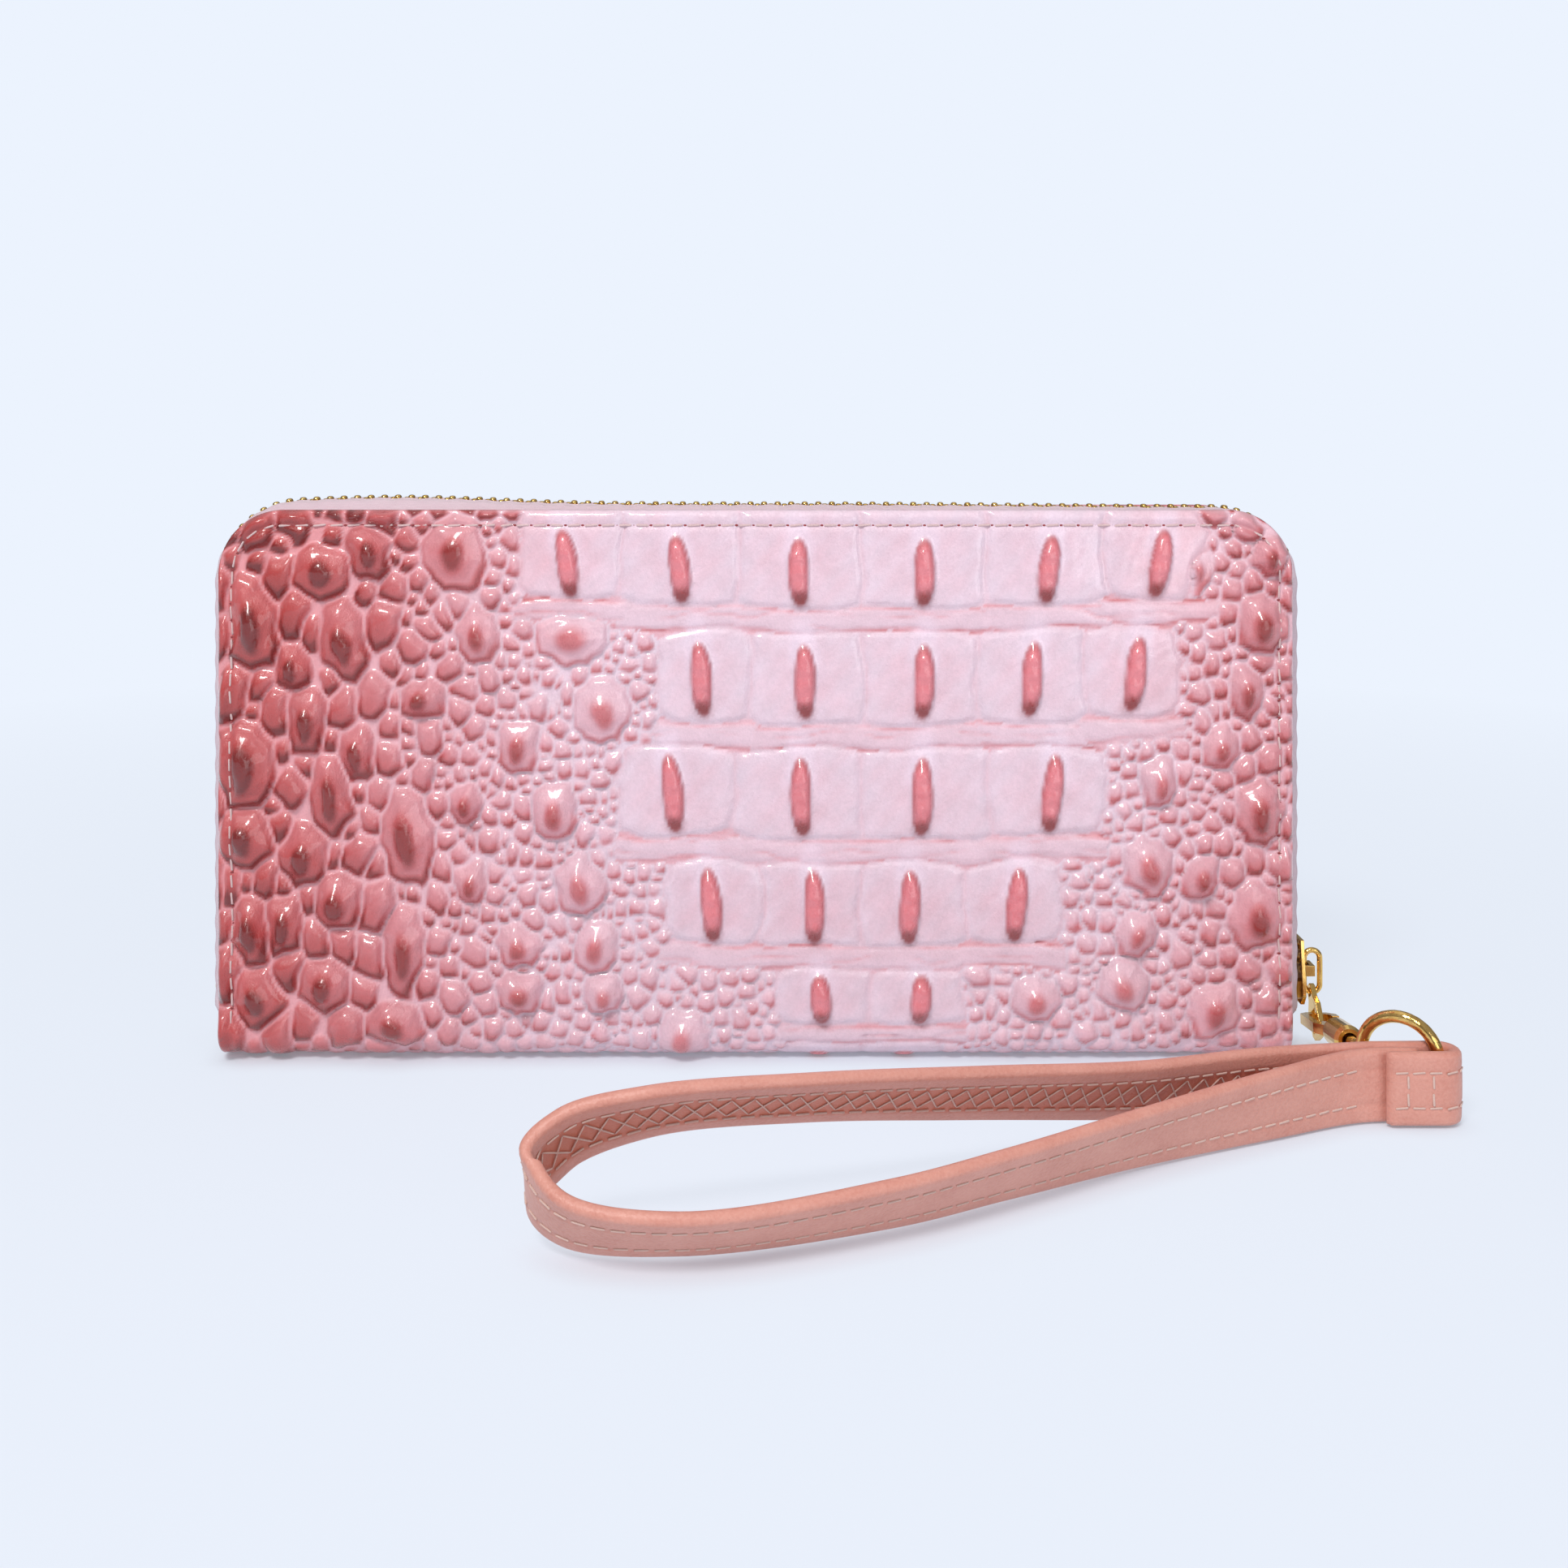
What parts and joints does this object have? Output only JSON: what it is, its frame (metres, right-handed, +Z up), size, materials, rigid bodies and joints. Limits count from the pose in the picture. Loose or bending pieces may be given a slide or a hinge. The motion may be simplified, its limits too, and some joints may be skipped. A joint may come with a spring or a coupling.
{
  "type": "wristlet wallet",
  "caption": "Zip-around leather wallet with reptile-embossed covers, card and coin pockets, and a wrist strap on a snap hook.",
  "frame": {"origin": "centre of the spine's underside, where the closed wallet stands", "axes": "+X along the wallet to the strap's end, -Y out of the front cover, +Z up"},
  "size_m": [0.2205, 0.1077, 0.1026],
  "materials": {
    "croc_leather": "glossy embossed",
    "lining": "woven",
    "pocket_leather": "satin grain",
    "stiffener": "matt",
    "zip_tape": "twill",
    "gold_metal": "polished light gold plate",
    "strap_leather": "satin fine grain"
  },
  "bodies": {
    "front_half": {"spine": "croc_leather", "spine_board": "stiffener", "front_cover": "croc_leather", "front_board": "stiffener", "front_lining": "lining", "front_bill_panel": "pocket_leather", "front_card_slots": "pocket_leather", "front_zip_tape": "zip_tape", "front_zip_chain": "gold_metal", "left_gusset": "lining", "right_gusset": "lining", "left_end_tab": "croc_leather", "right_end_tab": "croc_leather", "left_zip_stop": "gold_metal", "right_zip_stop": "gold_metal"},
    "back_half": {"back_cover": "croc_leather", "back_board": "stiffener", "back_lining": "lining", "back_bill_panel": "pocket_leather", "back_card_slots": "pocket_leather", "back_zip_tape": "zip_tape", "back_zip_chain": "gold_metal"},
    "coin_pocket": {"coin_panel_front": "lining", "coin_panel_back": "lining", "coin_tape_front": "zip_tape", "coin_tape_back": "zip_tape", "coin_chain_front": "gold_metal", "coin_chain_back": "gold_metal"},
    "coin_zip_slider": {"coin_slider": "gold_metal"},
    "coin_zip_pull": {"coin_pull": "gold_metal"},
    "zip_slider": {"slider_body": "gold_metal"},
    "pull_link": {"link_ring": "gold_metal"},
    "zip_pull": {"pull_tab": "gold_metal"},
    "snap_hook": {"hook_body": "gold_metal", "gate_spring": "gold_metal"},
    "gate": {"hook_gate": "gold_metal"},
    "swivel": {"swivel_eye": "gold_metal"},
    "ring": {"eye_ring": "gold_metal"},
    "strap": {"strap_band": "strap_leather"}
  },
  "joints": [
    {"name": "wallet_open", "type": "hinge", "parent": "front_half", "child": "back_half", "pos_m": [0, 0.0125, 0.00515], "axis": [-1, 0, 0], "range_deg": [0, 45], "stiffness_Nm_per_rad": 0.02, "deforming": ["left_gusset", "right_gusset"]},
    {"name": "pocket_follow", "type": "hinge", "parent": "front_half", "child": "coin_pocket", "pos_m": [0, 0.0125, 0.00515], "axis": [-1, 0, 0], "range_deg": [0, 22.5]},
    {"name": "coin_zip_run", "type": "slide", "parent": "coin_pocket", "child": "coin_zip_slider", "axis": [-1, 0, 0], "range_m": [0, 0.13]},
    {"name": "coin_pull_lift", "type": "hinge", "parent": "coin_zip_slider", "child": "coin_zip_pull", "pos_m": [0.075, 0, 0.0792], "axis": [0, 1, 0], "range_deg": [0, 150]},
    {"name": "zip_run", "type": "slide", "parent": "front_half", "child": "zip_slider", "axis": [0, 0, 1], "range_m": [0, 0.055], "deforming": ["front_zip_chain", "back_zip_chain"]},
    {"name": "link_turn", "type": "hinge", "parent": "zip_slider", "child": "pull_link", "pos_m": [0.10375, 0, 0.0129], "axis": [0, 0, 1], "range_deg": [0, 30]},
    {"name": "pull_swing", "type": "hinge", "parent": "pull_link", "child": "zip_pull", "pos_m": [0.10545, 0, 0.0089], "axis": [-1, 0, 0], "range_deg": [0, 40]},
    {"name": "hook_turn", "type": "hinge", "parent": "zip_pull", "child": "snap_hook", "pos_m": [0.10545, -0.00519, 0.00533], "axis": [0, 0.5736, 0.8191], "range_deg": [0, 30]},
    {"name": "gate_open", "type": "hinge", "parent": "snap_hook", "child": "gate", "pos_m": [0.10775, -0.0136, 0.00664], "axis": [0.0074, 0.1562, 0.9877], "range_deg": [0, 20], "stiffness_Nm_per_rad": 0.002, "deforming": ["gate_spring"]},
    {"name": "swivel_spin", "type": "hinge", "parent": "snap_hook", "child": "swivel", "pos_m": [0.10545, -0.00519, 0.00533], "axis": [0.0469, 0.9866, -0.1564], "continuous": true},
    {"name": "ring_turn", "type": "hinge", "parent": "swivel", "child": "ring", "pos_m": [0.1042, -0.0315, 0.0095], "axis": [0, 0, 1], "range_deg": [0, 40]},
    {"name": "strap_turn", "type": "hinge", "parent": "ring", "child": "strap", "pos_m": [0.1147, -0.0388, 0.0065], "axis": [0, 0, 1], "range_deg": [0, 18]}
  ],
  "couplings": [
    {"joint": "pocket_follow", "follows": "wallet_open", "ratio": 0.5}
  ]
}
